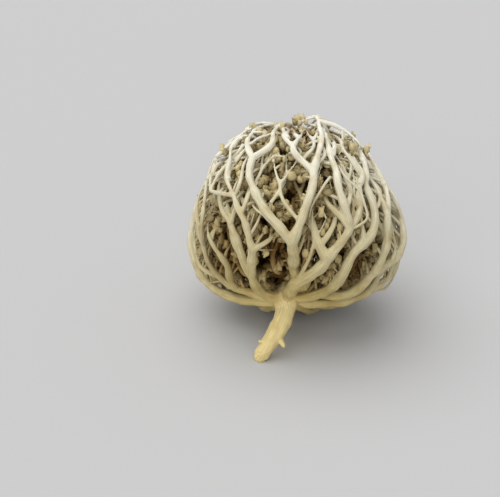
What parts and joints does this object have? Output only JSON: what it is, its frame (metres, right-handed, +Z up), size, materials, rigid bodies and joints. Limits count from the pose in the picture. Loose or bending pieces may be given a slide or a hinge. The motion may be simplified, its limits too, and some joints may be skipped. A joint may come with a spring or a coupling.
{
  "type": "rose of jericho",
  "caption": "Dried, closed rose of Jericho: a woody taproot with a cage of forked limbs that curl inwards over smaller limbs and sprays of seed pods.",
  "frame": {"origin": "on the surface that the plant lies on, under the centre of its bounding box", "axes": "+Z up; the plant leans back towards +Y from its root, which points down and towards -Y; +X to the right of that"},
  "size_m": [0.0856, 0.0828, 0.0824],
  "materials": {
    "root_bark": "dry smooth straw-coloured bark with fine lengthwise wrinkles, matt",
    "bleached_bark": "sun-bleached woody stem, fine lengthwise fibres, matt",
    "shaded_bark": "unbleached tan inner stem, dull, matt",
    "pod_husk": "dry papery two-eared seed pods, matt"
  },
  "bodies": {
    "root": {"taproot": "root_bark", "limb_01": "bleached_bark", "limb_02": "bleached_bark", "limb_03": "bleached_bark", "limb_04": "bleached_bark", "limb_05": "bleached_bark", "limb_06": "bleached_bark", "limb_07": "bleached_bark", "limb_08": "bleached_bark", "limb_09": "bleached_bark", "limb_10": "bleached_bark", "limb_11": "bleached_bark", "limb_12": "bleached_bark", "limb_13": "bleached_bark", "inner_limb_01": "shaded_bark", "inner_limb_02": "shaded_bark", "inner_limb_03": "shaded_bark", "inner_limb_04": "shaded_bark", "inner_limb_05": "shaded_bark", "inner_limb_06": "shaded_bark", "inner_limb_07": "shaded_bark", "inner_limb_08": "shaded_bark", "inner_limb_09": "shaded_bark", "pod_spray_01": "pod_husk", "pod_spray_02": "pod_husk", "pod_spray_03": "pod_husk", "pod_spray_04": "pod_husk", "pod_spray_05": "pod_husk", "pod_spray_06": "pod_husk", "pod_spray_07": "pod_husk", "pod_spray_08": "pod_husk", "pod_spray_09": "pod_husk", "pod_spray_10": "pod_husk", "pod_spray_11": "pod_husk", "pod_spray_12": "pod_husk", "pod_spray_13": "pod_husk", "pod_spray_14": "pod_husk", "pod_spray_15": "pod_husk", "pod_spray_16": "pod_husk", "pod_spray_17": "pod_husk", "pod_spray_18": "pod_husk", "pod_spray_19": "pod_husk", "pod_spray_20": "pod_husk", "pod_spray_21": "pod_husk"}
  },
  "joints": []
}
